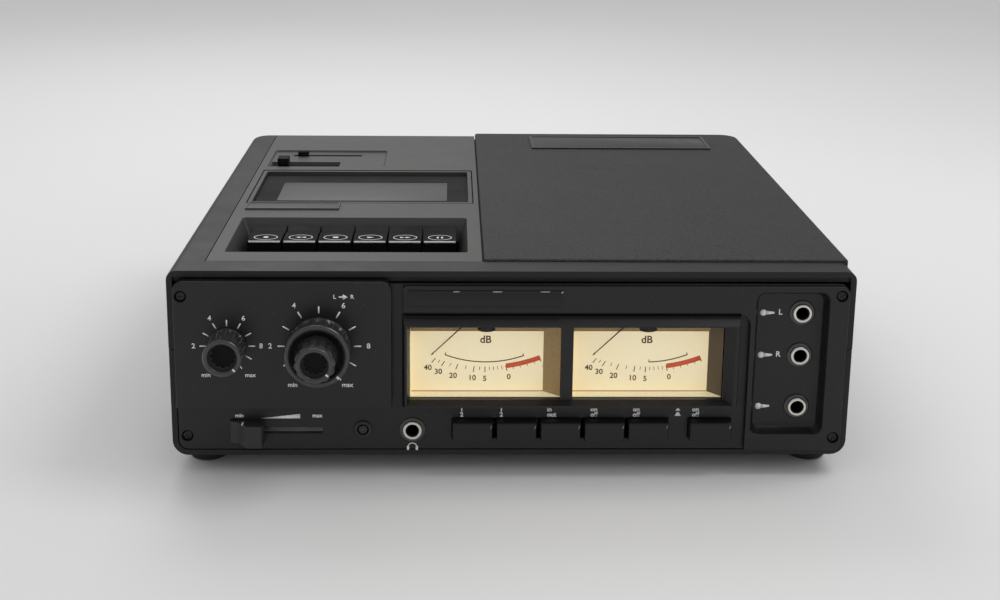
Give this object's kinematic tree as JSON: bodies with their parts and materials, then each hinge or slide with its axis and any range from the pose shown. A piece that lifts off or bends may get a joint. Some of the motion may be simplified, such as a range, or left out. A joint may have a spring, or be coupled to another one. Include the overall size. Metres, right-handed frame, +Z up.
{
  "type": "portable cassette deck",
  "caption": "Portable stereo cassette deck with piano keys, two level meters, rotary level controls, microphone jacks and a tape transport under a lid.",
  "frame": {"origin": "centre of the overall box, at the bottom of the feet", "axes": "+Z up, -Y out of the front panel, +X to the right as seen from the front"},
  "size_m": [0.35, 0.3504, 0.1153],
  "materials": {
    "case_black": "fine textured, satin",
    "deck_grey": "smooth satin",
    "cover_grain": "leather-grained, satin",
    "foot_rubber": "matt",
    "knob_black": "satin",
    "key_black": "semi-gloss",
    "jack_nickel": "bright plated",
    "plated_steel": "zinc plated",
    "brass": "turned",
    "dial_ivory": "lit from within",
    "needle_black": "matt",
    "clear_lens": "clear moulded acrylic, polished",
    "smoked_lid": "smoked acrylic, polished",
    "red_lens": "translucent red",
    "board_green": "resist-coated board",
    "white_print": "screen print"
  },
  "bodies": {
    "case": {"bottom_case": "case_black", "top_frame": "case_black", "deck_panel": "deck_grey", "top_pad": "cover_grain", "front_panel": "case_black", "foot_front_left": "foot_rubber", "foot_front_right": "foot_rubber", "foot_rear_left": "foot_rubber", "foot_rear_right": "foot_rubber", "meter_bezel": "case_black", "meter_lens": "clear_lens", "meter_left": "dial_ivory", "meter_right": "dial_ivory", "blend_mic_pot": "plated_steel", "input_level_pot": "plated_steel", "phones_level_pot": "plated_steel", "tape_alarm_lamp": "red_lens", "phones_jack": "jack_nickel", "mic_jack_left": "jack_nickel", "mic_jack_right": "jack_nickel", "blend_mic_jack": "jack_nickel", "switch_bank": "plated_steel", "key_pivot_rod": "plated_steel", "transport_chassis": "plated_steel", "motor": "plated_steel", "drive_belt": "foot_rubber", "circuit_board": "board_green", "line_sockets": "case_black"},
    "battery_cover": {"battery_cover": "case_black"},
    "blend_mic_knob": {"blend_mic_knob": "knob_black"},
    "input_level_knob_right": {"input_level_knob_right": "knob_black"},
    "input_level_knob_left": {"input_level_knob_left": "knob_black"},
    "phones_level_slider": {"phones_level_slider": "knob_black"},
    "lid": {"cassette_lid": "deck_grey", "lid_window": "smoked_lid"},
    "rear_slide_knob": {"rear_slide_knob": "knob_black"},
    "front_slide_knob": {"front_slide_knob": "knob_black"},
    "needle_left": {"needle_left": "needle_black"},
    "needle_right": {"needle_right": "needle_black"},
    "supply_spindle": {"supply_spindle": "knob_black"},
    "take_up_spindle": {"take_up_spindle": "knob_black"},
    "capstan_flywheel": {"capstan_flywheel": "brass"},
    "motor_pulley": {"motor_pulley": "brass"},
    "head_bridge": {"head_bridge": "plated_steel", "record_play_head": "jack_nickel", "erase_head": "jack_nickel"},
    "pinch_arm": {"pinch_arm": "plated_steel"},
    "pinch_roller": {"pinch_roller": "foot_rubber"},
    "key_record": {"key_record": "key_black"},
    "key_rewind": {"key_rewind": "key_black"},
    "key_stop": {"key_stop": "key_black"},
    "key_play": {"key_play": "key_black"},
    "key_forward": {"key_forward": "key_black"},
    "key_pause": {"key_pause": "key_black"},
    "meter_button": {"meter_button": "knob_black"},
    "tape_button": {"tape_button": "knob_black"},
    "noise_button": {"noise_button": "knob_black"},
    "limiter_button": {"limiter_button": "knob_black"},
    "lamp_button": {"lamp_button": "knob_black"},
    "power_button": {"power_button": "knob_black"}
  },
  "joints": [
    {"name": "blend_mic_knob_turn", "type": "hinge", "parent": "case", "child": "blend_mic_knob", "pos_m": [-0.1444, -0.14285, 0.0723], "axis": [0, -1, 0], "range_deg": [0, 300]},
    {"name": "input_level_knob_right_turn", "type": "hinge", "parent": "case", "child": "input_level_knob_right", "pos_m": [-0.098, -0.14285, 0.0723], "axis": [0, -1, 0], "range_deg": [0, 300]},
    {"name": "input_level_knob_left_turn", "type": "hinge", "parent": "case", "child": "input_level_knob_left", "pos_m": [-0.098, -0.14285, 0.0723], "axis": [0, -1, 0], "range_deg": [0, 300]},
    {"name": "phones_level_slide", "type": "slide", "parent": "case", "child": "phones_level_slider", "axis": [1, 0, 0], "range_m": [0, 0.03]},
    {"name": "rear_knob_slide", "type": "slide", "parent": "case", "child": "rear_slide_knob", "axis": [1, 0, 0], "range_m": [-0.002, 0.035]},
    {"name": "front_knob_slide", "type": "slide", "parent": "case", "child": "front_slide_knob", "axis": [1, 0, 0], "range_m": [-0.0033, 0.0335]},
    {"name": "meter_button_press", "type": "slide", "parent": "case", "child": "meter_button", "axis": [0, 1, 0], "range_m": [0, 0.0035], "stiffness_N_per_m": 150, "springref_m": -0.001},
    {"name": "tape_button_press", "type": "slide", "parent": "case", "child": "tape_button", "axis": [0, 1, 0], "range_m": [0, 0.0035], "stiffness_N_per_m": 150, "springref_m": -0.001},
    {"name": "noise_button_press", "type": "slide", "parent": "case", "child": "noise_button", "axis": [0, 1, 0], "range_m": [0, 0.0035], "stiffness_N_per_m": 150, "springref_m": -0.001},
    {"name": "limiter_button_press", "type": "slide", "parent": "case", "child": "limiter_button", "axis": [0, 1, 0], "range_m": [0, 0.0035], "stiffness_N_per_m": 150, "springref_m": -0.001},
    {"name": "lamp_button_press", "type": "slide", "parent": "case", "child": "lamp_button", "axis": [0, 1, 0], "range_m": [0, 0.0035], "stiffness_N_per_m": 150, "springref_m": -0.001},
    {"name": "power_button_press", "type": "slide", "parent": "case", "child": "power_button", "axis": [0, 1, 0], "range_m": [0, 0.0035], "stiffness_N_per_m": 150, "springref_m": -0.001},
    {"name": "key_record_press", "type": "hinge", "parent": "case", "child": "key_record", "pos_m": [-0.13357, -0.03885, 0.0945], "axis": [1, 0, 0], "range_deg": [0, 7], "stiffness_Nm_per_rad": 0.3, "springref_deg": -5.73},
    {"name": "key_rewind_press", "type": "hinge", "parent": "case", "child": "key_rewind", "pos_m": [-0.11442, -0.03885, 0.0945], "axis": [1, 0, 0], "range_deg": [0, 7], "stiffness_Nm_per_rad": 0.3, "springref_deg": -5.73},
    {"name": "key_stop_press", "type": "hinge", "parent": "case", "child": "key_stop", "pos_m": [-0.09527, -0.03885, 0.0945], "axis": [1, 0, 0], "range_deg": [0, 7], "stiffness_Nm_per_rad": 0.3, "springref_deg": -5.73},
    {"name": "key_play_press", "type": "hinge", "parent": "case", "child": "key_play", "pos_m": [-0.07612, -0.03885, 0.0945], "axis": [1, 0, 0], "range_deg": [0, 7], "stiffness_Nm_per_rad": 0.3, "springref_deg": -5.73},
    {"name": "key_forward_press", "type": "hinge", "parent": "case", "child": "key_forward", "pos_m": [-0.05697, -0.03885, 0.0945], "axis": [1, 0, 0], "range_deg": [0, 7], "stiffness_Nm_per_rad": 0.3, "springref_deg": -5.73},
    {"name": "key_pause_press", "type": "hinge", "parent": "case", "child": "key_pause", "pos_m": [-0.03782, -0.03885, 0.0945], "axis": [1, 0, 0], "range_deg": [0, 7], "stiffness_Nm_per_rad": 0.3, "springref_deg": -5.73},
    {"name": "lid_open", "type": "hinge", "parent": "case", "child": "lid", "pos_m": [0, 0.06405, 0.1073], "axis": [-1, 0, 0], "range_deg": [0, 70]},
    {"name": "needle_left_swing", "type": "hinge", "parent": "case", "child": "needle_left", "pos_m": [-0.0131, -0.14285, 0.0937], "axis": [0, -1, 0], "range_deg": [0, 84], "stiffness_Nm_per_rad": 0.0004, "springref_deg": -11.46},
    {"name": "needle_right_swing", "type": "hinge", "parent": "case", "child": "needle_right", "pos_m": [0.0706, -0.14285, 0.0937], "axis": [0, -1, 0], "range_deg": [0, 84], "stiffness_Nm_per_rad": 0.0004, "springref_deg": -11.46},
    {"name": "supply_spindle_turn", "type": "hinge", "parent": "case", "child": "supply_spindle", "pos_m": [-0.10725, 0.02355, 0.0105], "axis": [0, 0, 1], "continuous": true},
    {"name": "take_up_spindle_turn", "type": "hinge", "parent": "case", "child": "take_up_spindle", "pos_m": [-0.06475, 0.02355, 0.0105], "axis": [0, 0, 1], "continuous": true},
    {"name": "capstan_turn", "type": "hinge", "parent": "case", "child": "capstan_flywheel", "pos_m": [-0.0584, 0.00035, 0.0105], "axis": [0, 0, 1], "continuous": true},
    {"name": "motor_pulley_turn", "type": "hinge", "parent": "case", "child": "motor_pulley", "pos_m": [-0.125, 0.04715, 0.0105], "axis": [0, 0, 1], "continuous": true},
    {"name": "head_bridge_slide", "type": "slide", "parent": "case", "child": "head_bridge", "axis": [0, 1, 0], "range_m": [0, 0.0102]},
    {"name": "pinch_arm_swing", "type": "hinge", "parent": "case", "child": "pinch_arm", "pos_m": [-0.04, -0.01785, 0.0105], "axis": [0, 0, -1], "range_deg": [0, 17.2]},
    {"name": "pinch_roller_turn", "type": "hinge", "parent": "pinch_arm", "child": "pinch_roller", "pos_m": [-0.06, -0.01385, 0.0105], "axis": [0, 0, 1], "continuous": true},
    {"name": "battery_cover_slide", "type": "slide", "parent": "case", "child": "battery_cover", "axis": [0, 1, 0], "range_m": [0, 0.0115]}
  ],
  "couplings": [
    {"joint": "head_bridge_slide", "follows": "key_play_press", "m_per_rad": 0.0825},
    {"joint": "pinch_arm_swing", "follows": "key_play_press", "ratio": 2.4286},
    {"joint": "motor_pulley_turn", "follows": "capstan_turn", "ratio": 7.5957}
  ]
}
